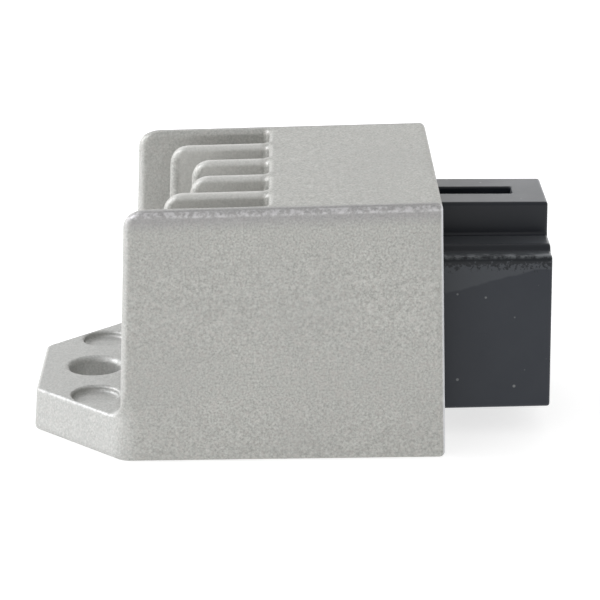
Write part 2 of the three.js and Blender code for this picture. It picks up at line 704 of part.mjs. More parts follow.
// Half of a barrel's profile, from its end face to its middle. A resistor's caps stand proud of its waist.
function barrelProfile({ radius, length, waist }) {
  const chamfer = radius / 4;
  const end = length / 2;
  const points = [
    [0, end],
    [radius - chamfer, end],
    [radius, end - chamfer],
  ];
  const capEnd = end - radius;
  const waistEnd = capEnd - 2 * (radius - waist);
  return waist ? [...points, [radius, capEnd], [waist, waistEnd]] : points;
}

// A barrel on a wire bent down into the board at both ends, with its axis along Y.
function axialPart(part) {
  const axisX = BOARD_X0 - STANDOFF - part.radius;
  const half = AXIAL_LEAD_PITCH / 2;
  const corners = [
    at(LEAD_END_X, part.y - half, part.z),
    at(axisX, part.y - half, part.z),
    at(axisX, part.y + half, part.z),
    at(LEAD_END_X, part.y + half, part.z),
  ];
  const lead = sweep(roundSection(part.wire), bent(corners, AXIAL_LEAD_BEND));
  const upper = barrelProfile(part).reverse();
  const lower = barrelProfile(part).map(([radius, height]) => [radius, -height]);
  const profile = [...lower, ...upper].map(([radius, height]) => new THREE.Vector2(radius, height));
  const barrel = new THREE.LatheGeometry(profile, 12);
  barrel.translate(axisX, part.y, part.z);
  return toSolid(barrel).add(lead);
}

function axialSpace({ y, z, radius, wire }) {
  const half = AXIAL_LEAD_PITCH / 2 + wire;
  const x0 = BOARD_X0 - STANDOFF - 2 * radius;
  return block([x0, y - half, z - radius], [BOARD_X1, y + half, z + radius], GAP);
}

// ---------------------------------------------------------------- driver transistor

const TRANSISTOR_LEG_YS = [-1, 0, 1].map((side) => TRANSISTOR_CENTRE.y + side * TRANSISTOR_LEG_PITCH);

// A small half-round package standing off the board on three legs, flat side up.
function driverTransistor() {
  const { y, z } = TRANSISTOR_CENTRE;
  const round = rod("x", TRANSISTOR_CENTRE, TRANSISTOR_RADIUS, TRANSISTOR_X0, TRANSISTOR_X1, 24);
  const reach = TRANSISTOR_RADIUS + CUT;
  const trimLow = [TRANSISTOR_X0 - CUT, y - reach, z + TRANSISTOR_FLAT];
  const flat = block(trimLow, [TRANSISTOR_X1 + CUT, y + reach, z + reach]);
  const half = TRANSISTOR_LEG_SIZE / 2;
  const legs = TRANSISTOR_LEG_YS.map((legY) => {
    return block([TRANSISTOR_X1 - OVERLAP, legY - half, z - half], [LEAD_END_X, legY + half, z + half]);
  });
  return joined([cutAway(round, [flat]), ...legs]);
}

function transistorSpace() {
  const { y, z } = TRANSISTOR_CENTRE;
  const low = [TRANSISTOR_X0, y - TRANSISTOR_RADIUS, z - TRANSISTOR_RADIUS];
  return block(low, [BOARD_X1, y + TRANSISTOR_RADIUS, z + TRANSISTOR_FLAT], GAP);
}

// ---------------------------------------------------------------- circuit board and epoxy

function prismAlongX(x0, x1, [y0, z0, y1, z1], radius) {
  const outline = roundedRectangle(y0, z0, y1, z1, radius);
  const rings = [x0, x1].map((x) => outline.map((point) => at(x, point.x, point.y)));
  return loft(rings, seenFromMouth);
}

function boardPins() {
  const axialPins = Object.values(AXIAL_PARTS).flatMap((part) => pair(part, AXIAL_LEAD_PITCH, part.wire));
  const legPins = TRANSISTOR_LEG_YS.map((y) => ({ y, z: TRANSISTOR_CENTRE.z, radius: TRANSISTOR_LEG_SIZE / 2 }));
  const smallPins = [...axialPins, ...legPins, ...CAN_PINS, ...FILM_PINS];
  return [...smallPins, ...THYRISTOR_YS.flatMap(thyristorPins)];
}

function circuitBoard() {
  const outline = [-BOARD_HALF_WIDTH, BOARD_Z0, BOARD_HALF_WIDTH, BOARD_Z1];
  const plate = prismAlongX(BOARD_X0, BOARD_X1, outline, BOARD_RADIUS);
  const holes = boardPins().map((pin) => {
    return rod("x", pin, pin.radius + GAP, BOARD_X0 - CUT, BOARD_X1 + CUT, 6);
  });
  const slots = bladePlaces().map((place) => bladeSolid(place, GAP));
  return cutAway(plate, [...holes, ...slots]);
}

// The board with the ends of all its leads.
function boardSpace() {
  const outline = [-BOARD_HALF_WIDTH - GAP, BOARD_Z0 - GAP, BOARD_HALF_WIDTH + GAP, BOARD_Z1 + GAP];
  return prismAlongX(BOARD_X0 - LEAD_PROUD - GAP, LEAD_END_X + GAP, outline, BOARD_RADIUS);
}

function pottingCompound() {
  const half = POCKET_WIDTH / 2 - GAP;
  const outline = [-half, POCKET_Z0 + GAP, half, POCKET_Z1 - GAP];
  const filling = prismAlongX(PAD_X0, POTTING_X1, outline, POCKET_RADIUS);
  return cutAway(filling, [
    boardSpace(),
    shellSpace(),
    electrolyticSpace(),
    filmSpace(),
    transistorSpace(),
    ...bladePlaces().map(bladeSpace),
    ...THYRISTOR_YS.map(thyristorSpace),
    ...Object.values(AXIAL_PARTS).map(axialSpace),
  ]);
}

// ---------------------------------------------------------------- assembly

const regulator = new THREE.Group();

function addPiece(name, solid, material) {
  const mesh = new THREE.Mesh(toGeometry(solid), material);
  mesh.name = name;
  regulator.add(mesh);
}

addPiece("housing", housing(), CAST_ALUMINIUM);
addPiece("potting_compound", pottingCompound(), EPOXY);
addPiece("connector_shell", connectorShell(), BLACK_PLASTIC);
bladePlaces().forEach((place, i) => addPiece(`terminal_blade_${i + 1}`, bladeSolid(place), TINNED_BRASS));
addPiece("circuit_board", circuitBoard(), BOARD_GREEN);

THYRISTOR_YS.forEach((y, i) => {
  const name = `thyristor_${i + 1}`;
  const parts = thyristorPieces(y);
  addPiece(`${name}_case`, parts.case, MOULDED_CASE);
  addPiece(`${name}_heat_tab`, parts.heat_tab, TINNED_COPPER);
  addPiece(`${name}_gate_lead`, parts.gate_lead, TINNED_COPPER);
  addPiece(`${name}_cathode_lead`, parts.cathode_lead, TINNED_COPPER);
  addPiece(`thermal_pad_${i + 1}`, thermalPad(y), SILICONE_PAD);
});

const electrolytic = electrolyticPieces();
addPiece("capacitor_can", electrolytic.can, CAN_SLEEVE);
addPiece("capacitor_seal", electrolytic.seal, SEAL_RUBBER);
electrolytic.leads.forEach((lead, i) => addPiece(`capacitor_lead_${i + 1}`, lead, TINNED_COPPER));
addPiece("film_capacitor", filmCapacitor(), FILM_CASE);
addPiece("driver_transistor", driverTransistor(), DIODE_CASE);

for (const [name, part] of Object.entries(AXIAL_PARTS)) {
  addPiece(name, axialPart(part), part.material);
}

export default regulator;
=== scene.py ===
"""Looks for the finned voltage regulator and rectifier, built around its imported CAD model.

The casting, the plug socket and the epoxy's free surface are meshed from signed distances, so that every
edge and foot has its real radius. Lengths are in millimetres, in the part's own frame, until mesh_piece
turns them into metres. The pieces inside the epoxy are the CAD nodes with better materials.
"""

import json
import math

import bpy
import numpy as np
from mathutils import Matrix, Vector


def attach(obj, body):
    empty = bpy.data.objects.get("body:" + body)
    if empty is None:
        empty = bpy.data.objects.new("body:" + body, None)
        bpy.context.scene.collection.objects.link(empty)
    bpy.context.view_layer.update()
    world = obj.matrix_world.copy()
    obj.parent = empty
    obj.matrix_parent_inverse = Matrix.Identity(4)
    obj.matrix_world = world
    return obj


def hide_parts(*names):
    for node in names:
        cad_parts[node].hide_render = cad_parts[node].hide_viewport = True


MM = 0.001

# The casting, as in part.mjs
TAB_TIP_X = -37.5
BODY_X0 = -24.4
BODY_X1 = 21.9
BODY_HALF = 23.6
TOP_AT_X0 = 36.6
TOP_AT_X1 = 37.3
DRAFT_TAB_END = 0.047
DRAFT_PLUG_END = 0.015
DRAFT_SIDE = 0.014
TAB_TOP = 6.3
TAB_TIP_HALF = 9.6
TAB_DRAFT = 0.072
BOLT_X = BODY_X0 - 4.6
BOLT_RADIUS = 3.7
DIMPLE_X = BODY_X0 - 3.8
DIMPLE_Y = 12.3
DIMPLE_RADIUS = 3.4
DIMPLE_DEPTH = 0.9
RIB_TOP_HALF = 1.1
RIB_PITCH = 8.795
RIB_PLACES = (-2.5, -1.5, -0.5, 0.5, 1.5, 2.5)  # the walls and the fins, in pitches from the mid-plane
FIN_SETBACKS = {0.5: 9.0, 1.5: 5.5}  # how far behind the walls each fin ends, by its place
WALL_INNER = RIB_PLACES[-1] * RIB_PITCH - RIB_TOP_HALF
GROOVE_X = BODY_X0 + 20.8
GROOVE_DRAFT = 0.022
GROOVE_END_DRAFT = 0.03
POCKET_X = 0.2
POCKET_HALF = 20.8
POCKET_Z = (2.6, 34.2)
POTTING_X = BODY_X1 - 1.3

# The tab's slanted sides have more draft than in part.mjs, and above the tab its outline leans out
SLANT_DRAFT = 0.14
TAB_CLEARANCE = 0.25

# Radii of the casting's edges and feet
EDGE_TOP = 0.8
EDGE_FIN = 1.05
EDGE_BASE = 0.9
EDGE_PLUG_END = 0.9
EDGE_WALL_END = 1.2
EDGE_TAB = 0.5
EDGE_TAB_RUN_OUT = (BODY_X0 - 0.2, BODY_X0 + 1.2)  # where the tab's edge radius fades to nothing
EDGE_HOLE = 1.0
EDGE_DIMPLE = 0.45
EDGE_POCKET = 0.4
WALL_CORNER = 2.4  # the walls' top corners at the tab end, seen from the side
FIN_CORNER = 2.8
FOOT = 1.8
GROOVE_CORNER = 1.0
TAB_SHOULDER = 1.3
TAB_CORNER = 0.35
POCKET_CORNER = 1.5

# The plug socket, as in part.mjs
SHELL_X0 = 18.2
MOUTH_X = 37.5
SHELL_WALL = 1.5
SHELL_TAPER = 0.13
SHELL_HALF = 14.65
SHELL_Z0 = 4.05
SHOULDER_Z = 27.05
STEP_HALF = 11.7
STEP_Z = 27.9
LATCH_HALF = 6.65
LATCH_Z = 32.8
SHELL_MID_Z = (SHELL_Z0 + SHOULDER_Z) / 2
SOCKET_FLOOR_X = 21.0
WINDOW_HALF = 1.75
WINDOW_X = (BODY_X1 - 0.6, MOUTH_X - 4.7)
WINDOW_Z0 = LATCH_Z - SHELL_WALL - 1.0  # the cut runs out below the latch channel's roof
FLANGE = 1.5
FLANGE_GROWTH = 1.1

# Radii of the socket's edges and of the corners between its steps
EDGE_SHOULDER = 0.8
EDGE_SHELL_BOTTOM = 0.6
EDGE_STEP = 0.75
EDGE_LATCH = 0.5
EDGE_MOUTH = 0.4
EDGE_FLANGE = 0.3
EDGE_CAVITY = 0.35
EDGE_WINDOW = 0.25
STEP_CORNER = 0.45
FLANGE_CORNER = 0.4
CAVITY_CORNER = 0.4
WINDOW_CORNER = 0.35

# The skin over the epoxy climbs the casting and the socket, and flattens out away from them
CASTING_CLIMB = 0.55
CASTING_CLIMB_REACH = 0.7
SOCKET_CLIMB = 0.45
SOCKET_CLIMB_REACH = 0.6
SKIN_THICKNESS = 0.7
SKIN_INTO_CASTING = 0.08
SKIN_INTO_SOCKET = 0.1

# Marks on the socket's side walls
FILM_Z = (21.5, 25.3)  # the pale film's lower edge, at the casting and at the mouth
FILM_TOP_Z = 24.9  # that edge climbs no further than this
WORN_Z = 24.0  # the film is worn from here up to the shoulder

# Light is painted into the grooves as a paler colour; it starts this far behind the walls' ends, by the
# nearest fin
PAINTED_LIGHT_BEHIND_INNER_FINS = 12.0
PAINTED_LIGHT_BEHIND_OUTER_FINS = 8.4

# The camera looks at the long side from a little above. Its angles are in radians
CAMERA_AT = Vector((-0.66, -360.64, 135.0)) * MM
CAMERA_PITCH = 0.31835
CAMERA_YAW = 0.0064
CAMERA_ROLL = -0.011
CAMERA_LENS = 153.48
CAMERA_SENSOR = 36
CAMERA_CLIP = (0.01, 20)

# A white tent, brightest low down behind and on the left
SKY_FRONT = 0.6
SKY_BACK = 1.35
SKY_LEFT = 1.0
SKY_ZENITH = 0.68
SKY_FADE = (0.25, 0.9)  # sines of the elevations between which the horizon's light fades out

# One softbox high on the left, in metres and watts
SOFTBOX_AT = (-0.57, 0.10, 0.42)
SOFTBOX_TARGET = (-0.02, 0, 0.02)
SOFTBOX_SIZE = 0.35
SOFTBOX_POWER = 2.3
SOFTBOX_COLOUR = (0.97, 0.98, 1.03)

# The pale floor, in metres, glows a little, like a light table
FLOOR_HALF = 3.0
FLOOR_GREY = 0.5
FLOOR_GLOW = 0.7

BLADE_EDGE = 0.15  # the bevel on the terminal blades


# ---------------------------------------------------------------- signed distances


def both(a, b, r=0.0):
    """Inside a and inside b, with the edge between them rounded to r."""
    ends = np.hypot(np.maximum(a + r, 0), np.maximum(b + r, 0))
    return np.minimum(np.maximum(a, b), -r) + ends


def either(a, b, r=0.0):
    """Inside a or inside b, with the corner between them filled to r."""
    return -both(-a, -b, r)


def smoothstep(value, start, end):
    t = np.clip((value - start) / (end - start), 0, 1)
    return t * t * (3 - 2 * t)


def corner_recess(below_top, radius):
    """How far an end face draws back, so that it meets the top in a quarter circle."""
    rise = np.clip(radius - below_top, 0, radius)
    return radius - np.sqrt(radius * radius - rise * rise)


def top_height(x):
    return TOP_AT_X0 + (TOP_AT_X1 - TOP_AT_X0) * (x - BODY_X0) / (BODY_X1 - BODY_X0)


def ribs_plan(x, y, z, below_top):
    """The block, the outer walls and the fins, with no base. Only the fins have their tops."""
    side = np.abs(y)
    widening = GROOVE_DRAFT * (TOP_AT_X1 - z)
    groove_end = GROOVE_X + GROOVE_END_DRAFT * (z - TAB_TOP)
    plan = either(groove_end - x, WALL_INNER - widening - side, GROOVE_CORNER)
    for place, setback in FIN_SETBACKS.items():
        fin_side = np.abs(side - place * RIB_PITCH) - RIB_TOP_HALF - widening
        lean = DRAFT_TAB_END * (z - TAB_TOP)
        fin_end = BODY_X0 + setback + lean + corner_recess(below_top, FIN_CORNER) - x
        fin = both(both(fin_side, fin_end, RIB_TOP_HALF), -below_top, EDGE_FIN)
        plan = either(plan, fin, GROOVE_CORNER)
    return plan


def tab_outline(x, y, z):
    """The tab's drafted tip and 45 degree sides. Above the tab the sides lean out of the walls' way."""
    tip_lean = TAB_DRAFT * np.minimum(z, TAB_TOP)
    slant_lean = TAB_DRAFT * TAB_TOP - SLANT_DRAFT * np.maximum(TAB_TOP - z, 0)
    clear = TAB_CLEARANCE * np.maximum(z - TAB_TOP, 0)
    tip = TAB_TIP_X + tip_lean - x
    slanted = (np.abs(y) - TAB_TIP_HALF - (x - TAB_TIP_X)) * math.sqrt(0.5) + slant_lean - clear
    side = np.abs(y) - BODY_HALF + DRAFT_SIDE * z
    return both(both(slanted, side, TAB_SHOULDER), tip - clear, TAB_CORNER)


def pocket_outline(y, z):
    """The mouth of the pocket that holds the electronics and the epoxy."""
    outline = both(np.abs(y) - POCKET_HALF, z - POCKET_Z[1], POCKET_CORNER)
    return both(outline, POCKET_Z[0] - z, POCKET_CORNER)


def casting(x, y, z):
    below_top = top_height(x) - z
    side = np.abs(y) - BODY_HALF + DRAFT_SIDE * z
    wall_end = BODY_X0 + DRAFT_TAB_END * z + corner_recess(below_top, WALL_CORNER) - x
    ribs = both(ribs_plan(x, y, z, below_top), wall_end, RIB_TOP_HALF)
    ribs = np.maximum(ribs, both(side, wall_end, EDGE_WALL_END))
    solid = either(z - TAB_TOP, ribs, FOOT)
    tab_edge = EDGE_TAB * (1 - smoothstep(x, *EDGE_TAB_RUN_OUT))
    solid = both(solid, tab_outline(x, y, z), tab_edge)
    solid = both(solid, -below_top, EDGE_TOP)
    solid = both(solid, x - BODY_X1 + DRAFT_PLUG_END * z, EDGE_PLUG_END)
    solid = both(solid, -z, EDGE_BASE)

    pocket = both(pocket_outline(y, z), POCKET_X - x, EDGE_TOP)
    solid = both(solid, -pocket, EDGE_POCKET)
    solid = both(solid, BOLT_RADIUS - np.hypot(x - BOLT_X, y), EDGE_HOLE)
    dimple_side = np.hypot(x - DIMPLE_X, np.abs(y) - DIMPLE_Y) - DIMPLE_RADIUS
    dimple = both(dimple_side, TAB_TOP - DIMPLE_DEPTH - z, EDGE_DIMPLE)
    return both(solid, -dimple, EDGE_DIMPLE)


def shell_outline(x, y, z):
    """The socket's stepped outline, drawn in a little towards its mouth."""
    along = (x - BODY_X1) / (MOUTH_X - BODY_X1)
    scale = 1 - SHELL_TAPER / SHELL_HALF * along
    side = np.abs(y) / scale
    height = SHELL_MID_Z + (z - SHELL_MID_Z) / scale
    body = both(side - SHELL_HALF, height - SHOULDER_Z, EDGE_SHOULDER)
    body = both(body, SHELL_Z0 - height, EDGE_SHELL_BOTTOM)
    step = both(both(side - STEP_HALF, height - STEP_Z, EDGE_STEP), SHELL_MID_Z - height)
    latch = both(both(side - LATCH_HALF, height - LATCH_Z, EDGE_LATCH), SHELL_MID_Z - height)
    return either(either(body, step, STEP_CORNER), latch, STEP_CORNER)


def socket(x, y, z):
    outline = shell_outline(x, y, z)
    solid = both(both(outline, x - MOUTH_X, EDGE_MOUTH), SHELL_X0 - x, EDGE_FLANGE)
    flange = both(outline - FLANGE_GROWTH, x - SHELL_X0 - FLANGE, EDGE_FLANGE)
    solid = either(solid, both(flange, SHELL_X0 - x, EDGE_FLANGE), FLANGE_CORNER)
    cavity = both(outline + SHELL_WALL, SOCKET_FLOOR_X - x, CAVITY_CORNER)
    solid = both(solid, -cavity, EDGE_CAVITY)
    window = both(np.abs(y) - WINDOW_HALF, x - WINDOW_X[1], WINDOW_CORNER)
    window = both(both(window, WINDOW_X[0] - x, WINDOW_CORNER), WINDOW_Z0 - z)
    return both(solid, -window, EDGE_WINDOW)


def epoxy_surface(x, y, z):
    """A thin skin over the epoxy's free surface, which climbs what it meets a little."""
    pocket = pocket_outline(y, z)
    outline = shell_outline(x, y, z)
    climb = CASTING_CLIMB * np.exp(np.minimum(pocket, 0) / CASTING_CLIMB_REACH)
    climb += SOCKET_CLIMB * np.exp(-np.maximum(outline, 0) / SOCKET_CLIMB_REACH)
    skin = both(x - POTTING_X - climb, POTTING_X - SKIN_THICKNESS - x)
    return both(both(skin, pocket - SKIN_INTO_CASTING), -outline - SKIN_INTO_SOCKET)


# ---------------------------------------------------------------- meshing


TINY = 1e-9  # counts as no distance, when a plane lands on the start of a stretch
PROBE = 0.004  # half the distance over which a slope is measured
SETTLING_STEPS = 6
LONGEST_STEP = 0.3
LEAST_SLOPE_SQUARED = 0.05


def near(place, before, after, step):
    """A stretch of closer planes round a feature: its start, its end and its step."""
    return (place - before, place + after, step)


def mirrored(stretches):
    """The stretches' mirror images across the mid-plane, from low to high as well."""
    return [(-end, -start, step) for start, end, step in reversed(stretches)]


def grid_lines(low, high, coarse, stretches=()):
    """Planes of a grid: one each coarse mm, and closer in each stretch."""
    stops = [low]
    while stops[-1] < high:
        here = stops[-1]
        step = coarse
        for start, end, close in stretches:
            if start - TINY <= here < end:
                step = min(step, close)
            elif here < start < here + step:
                step = max(start - here, close)
        stops.append(here + step)
    return np.array(stops)


def gradient(distance, points):
    parts = []
    for axis in range(3):
        shift = np.zeros(3)
        shift[axis] = PROBE
        ahead = distance(*(points + shift).T)
        behind = distance(*(points - shift).T)
        parts.append((ahead - behind) / (2 * PROBE))
    return np.stack(parts, 1)


def crossing_points(field, lines):
    """The mean crossing on the edges of each cell that the surface crosses, and those cells' numbers."""
    inside = field < 0
    cells = tuple(len(line) - 1 for line in lines)
    total = np.zeros((*cells, 3))
    count = np.zeros(cells)
    positions = np.meshgrid(*lines, indexing="ij")

    def corner_view(values, corner):
        return values[tuple(slice(c, c + n) for c, n in zip(corner, cells))]

    for corner in np.ndindex(2, 2, 2):
        for axis in range(3):
            if corner[axis]:
                continue
            other = tuple(c + (n == axis) for n, c in enumerate(corner))
            a = corner_view(field, corner)
            b = corner_view(field, other)
            crossed = corner_view(inside, corner) != corner_view(inside, other)
            share = np.where(crossed, a / np.where(crossed, a - b, 1), 0)
            for n in range(3):
                start = corner_view(positions[n], corner)
                end = corner_view(positions[n], other)
                total[..., n] += np.where(crossed, start + share * (end - start), 0)
            count += crossed
    used = count > 0
    number = np.full(cells, -1)
    number[used] = np.arange(used.sum())
    return total[used] / count[used][:, None], number


def surface_quads(inside, number):
    """One quad round each grid edge that the surface crosses, turned outwards."""
    quads = []
    for axis in range(3):
        u = (axis + 1) % 3
        v = (axis + 2) % 3
        first = [slice(None)] * 3
        second = [slice(None)] * 3
        first[axis] = slice(0, -1)
        second[axis] = slice(1, None)
        starts_inside = inside[tuple(first)]
        edges = np.argwhere(starts_inside != inside[tuple(second)])
        keep = (edges[:, u] > 0) & (edges[:, v] > 0)
        keep &= (edges[:, u] < number.shape[u]) & (edges[:, v] < number.shape[v])
        edges = edges[keep]
        around = []
        for du, dv in ((-1, -1), (0, -1), (0, 0), (-1, 0)):
            cell = edges.copy()
            cell[:, u] += du
            cell[:, v] += dv
            around.append(number[tuple(cell.T)])
        quad = np.stack(around, 1)
        outward = starts_inside[tuple(edges.T)]
        quad[~outward] = quad[~outward][:, ::-1]
        quads.append(quad)
    return np.concatenate(quads)


def surface_net(distance, *lines):
    """Vertices, quads and normals of the surface where distance is zero."""
    field = distance(*np.meshgrid(*lines, indexing="ij"))
    points, number = crossing_points(field, lines)
    quads = surface_quads(field < 0, number)
    for _ in range(SETTLING_STEPS):
        slope = gradient(distance, points)
        squared = np.maximum((slope**2).sum(1), LEAST_SLOPE_SQUARED)
        step = (distance(*points.T) / squared)[:, None] * slope
        points = points - np.clip(step, -LONGEST_STEP, LONGEST_STEP)
    slope = gradient(distance, points)
    normals = slope / np.linalg.norm(slope, axis=1, keepdims=True)
    return points, quads, normals


def mesh_piece(name, surface, material, replaced=()):
    points, quads, normals = surface
    mesh = bpy.data.meshes.new(name)
    mesh.from_pydata((points * MM).tolist(), [], quads.tolist())
    mesh.validate()
    mesh.shade_smooth()
    mesh.normals_split_custom_set_from_vertices(normals.tolist())
    mesh.materials.append(material)
    piece = bpy.data.objects.new(name, mesh)
    bpy.context.scene.collection.objects.link(piece)
    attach(piece, "root")
    if replaced:
        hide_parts(*replaced)


# ---------------------------------------------------------------- materials


class Nodes:
    """A small helper for building node trees."""

    def __init__(self, tree):
        self.tree = tree

    def add(self, kind, inputs=(), **settings):
        node = self.tree.nodes.new(kind)
        for key, value in settings.items():
            setattr(node, key, value)
        for key, value in dict(inputs).items():
            self.set(node.inputs[key], value)
        return node

    def set(self, target, value):
        if isinstance(value, bpy.types.NodeSocket):
            self.tree.links.new(value, target)
        else:
            target.default_value = value

    def ramp(self, factor, stops):
        node = self.add("ShaderNodeValToRGB", {"Fac": factor})
        ramp = node.color_ramp
        while len(ramp.elements) < len(stops):
            ramp.elements.new(0.5)
        for element, (position, colour) in zip(ramp.elements, stops):
            element.position = position
            element.color = (*colour, 1.0)
        return node.outputs["Color"]

    def span(self, value, low, high, to_low=0.0, to_high=1.0):
        """The value from low to high, turned into one from to_low to to_high and held there beyond."""
        inputs = {"Value": value, "From Min": low, "From Max": high, "To Min": to_low, "To Max": to_high}
        return self.add("ShaderNodeMapRange", inputs).outputs["Result"]

    def math(self, operation, a, b=0.0):
        return self.add("ShaderNodeMath", {0: a, 1: b}, operation=operation).outputs[0]

    def product(self, first, *others):
        result = first
        for other in others:
            result = self.math("MULTIPLY", result, other)
        return result

    def mix(self, factor, a, b):
        node = self.add("ShaderNodeMix", data_type="RGBA")
        self.set(node.inputs["Factor"], factor)
        self.set(node.inputs["A"], a if isinstance(a, bpy.types.NodeSocket) else (*a, 1.0))
        self.set(node.inputs["B"], b if isinstance(b, bpy.types.NodeSocket) else (*b, 1.0))
        return node.outputs["Result"]

    def bump(self, height, strength, depth, normal=None):
        """A bump of the given depth in mm, over the normal when there is one."""
        inputs = {"Height": height, "Strength": strength, "Distance": depth * MM}
        node = self.add("ShaderNodeBump", inputs)
        if normal is not None:
            self.set(node.inputs["Normal"], normal)
        return node.outputs["Normal"]


class Surface(Nodes):
    """A material on a Principled shader, in the object's own coordinates."""

    def __init__(self, name):
        self.material = bpy.data.materials.new(name)
        self.material.use_nodes = True
        super().__init__(self.material.node_tree)
        self.shader = self.tree.nodes["Principled BSDF"]
        self.place = self.add("ShaderNodeTexCoord").outputs["Object"]

    def millimetres(self):
        """The place in mm: x, the distance from the mid-plane, and z."""
        place = self.add("ShaderNodeVectorMath", {0: self.place, "Scale": 1 / MM}, operation="SCALE")
        parts = self.add("ShaderNodeSeparateXYZ", {0: place.outputs[0]}).outputs
        return parts["X"], self.math("ABSOLUTE", parts["Y"]), parts["Z"]

    def noise(self, scale, detail=2.0, roughness=0.5, stretch=(1, 1, 1)):
        place = self.add("ShaderNodeVectorMath", {0: self.place, 1: stretch}, operation="MULTIPLY")
        inputs = {"Vector": place.outputs[0], "Scale": scale, "Detail": detail, "Roughness": roughness}
        return self.add("ShaderNodeTexNoise", inputs).outputs["Fac"]

    def from_spots(self, scale):
        """The distance from the nearest of many scattered points, in cells."""
        inputs = {"Vector": self.place, "Scale": scale}
        return self.add("ShaderNodeTexVoronoi", inputs).outputs["Distance"]

    def finish(self, **inputs):
        """Sets the shader's inputs, as base_color for Base Color, and gives the material."""
        for key, value in inputs.items():
            target = self.shader.inputs[key.replace("_", " ").title().replace("Ior", "IOR")]
            self.set(target, (*value, 1.0) if isinstance(value, tuple) else value)
        return self.material


def grey(level):
    return (level, level, level)


def groove_painted_light(n, x, across, z):
    """Where light is painted into the grooves: 1 in the grooves, behind the fins' ends, less low down,
    and 0 elsewhere.
    """
    inside_walls = n.span(across, WALL_INNER - 0.5, WALL_INNER + 0.3, 1.0, 0.0)
    before_block = n.span(x, GROOVE_X - 0.5, GROOVE_X + 0.5, 1.0, 0.0)
    above_tab = n.span(z, TAB_TOP + 0.5, TAB_TOP + 5.0)
    inner_start = n.span(
        across, 0.9 * RIB_PITCH, 1.1 * RIB_PITCH, PAINTED_LIGHT_BEHIND_INNER_FINS, PAINTED_LIGHT_BEHIND_OUTER_FINS
    )
    outer_start = n.span(across, 1.9 * RIB_PITCH, 2.1 * RIB_PITCH, PAINTED_LIGHT_BEHIND_INNER_FINS, 0.0)
    start = n.math("MINIMUM", inner_start, outer_start)
    past_start = n.math("SUBTRACT", n.math("SUBTRACT", x, BODY_X0), start)
    return n.product(inside_walls, before_block, n.span(past_start, -0.8, 0.0), above_tab)


def cast_aluminium():
    n = Surface("cast_aluminium")
    x, across, z = n.millimetres()
    grain = n.noise(3200, 3.0, 0.65)
    coarse_grain = n.noise(1150, 2.0, 0.6)
    patches = n.noise(70, 3.0, 0.6)
    warmth = n.noise(1900, 1.0)
    tone = n.ramp(n.span(grain, 0.32, 0.68), [
        (0.0, (0.29, 0.293, 0.274)),
        (0.5, (0.4, 0.403, 0.381)),
        (1.0, (0.525, 0.526, 0.499)),
    ])
    tone = n.mix(n.span(patches, 0.35, 0.7, 0.0, 0.35), tone, (0.348, 0.35, 0.336))
    tone = n.mix(n.span(warmth, 0.45, 0.7, 0.0, 0.25), tone, (0.475, 0.428, 0.408))

    # Painted light: the grooves are painted paler, standing in for the light that reaches into them
    tone = n.mix(n.product(groove_painted_light(n, x, across, z), 0.46), tone, (0.74, 0.735, 0.71))

    # The tab is a little paler than the body
    beyond_walls = n.span(x, BODY_X0 - 1.0, BODY_X0 + 3.0, 0.2, 0.0)
    below_walls = n.span(z, TAB_TOP + 0.3, TAB_TOP + 2.0, 1.0, 0.0)
    tone = n.mix(n.product(beyond_walls, below_walls), tone, (0.68, 0.69, 0.70))

    # The long top edges are rubbed bright in spots over a duller band; the bright spots on the edges'
    # rounding are wear and painted highlight together
    above_top = n.math("SUBTRACT", z, n.span(x, BODY_X0, BODY_X1, TOP_AT_X0, TOP_AT_X1))
    outside = n.span(across, BODY_HALF - 1.9, BODY_HALF - 1.4)
    dull_band = n.product(n.span(above_top, -3.0, -1.4), outside, 0.5)
    tone = n.mix(dull_band, tone, (0.27, 0.262, 0.275))
    rub_and_highlight_from = n.span(above_top, -1.1, -0.8)
    rub_and_highlight_to = n.span(above_top, -0.2, -0.1, 1.0, 0.0)
    rub_and_highlight_spots = n.span(n.noise(1300, 2.0, 0.7), 0.42, 0.6, 0.05, 0.75)
    tone = n.mix(n.product(rub_and_highlight_from, rub_and_highlight_to, rub_and_highlight_spots, outside), tone, (0.6, 0.59, 0.6))

    # The upright edges at both ends get a painted highlight, even along them
    behind_wall_end = n.math("SUBTRACT", x, BODY_X0)
    behind_wall_end = n.math("SUBTRACT", behind_wall_end, n.math("MULTIPLY", z, DRAFT_TAB_END))
    painted_highlight_height = n.span(z, TAB_TOP + 1.0, TAB_TOP + 4.0)
    painted_highlight_wall_end = n.product(n.span(behind_wall_end, 0.5, 0.9, 0.2, 0.0), painted_highlight_height)
    tone = n.mix(painted_highlight_wall_end, tone, (0.75, 0.75, 0.74))
    # A painted highlight runs along the plug end's upright edges
    before_plug_end = n.math("SUBTRACT", BODY_X1, n.math("MULTIPLY", z, DRAFT_PLUG_END))
    before_plug_end = n.math("SUBTRACT", before_plug_end, x)
    painted_highlight_plug_end = n.product(n.span(before_plug_end, 0.12, 0.4, 0.6, 0.0), outside)
    tone = n.mix(painted_highlight_plug_end, tone, (0.86, 0.88, 0.92))

    rough = n.span(coarse_grain, 0.3, 0.7, 0.42, 0.6)
    normal = n.bump(coarse_grain, 0.55, 0.10)
    normal = n.bump(grain, 0.5, 0.05, normal)
    return n.finish(base_color=tone, metallic=0.55, roughness=rough, normal=normal)


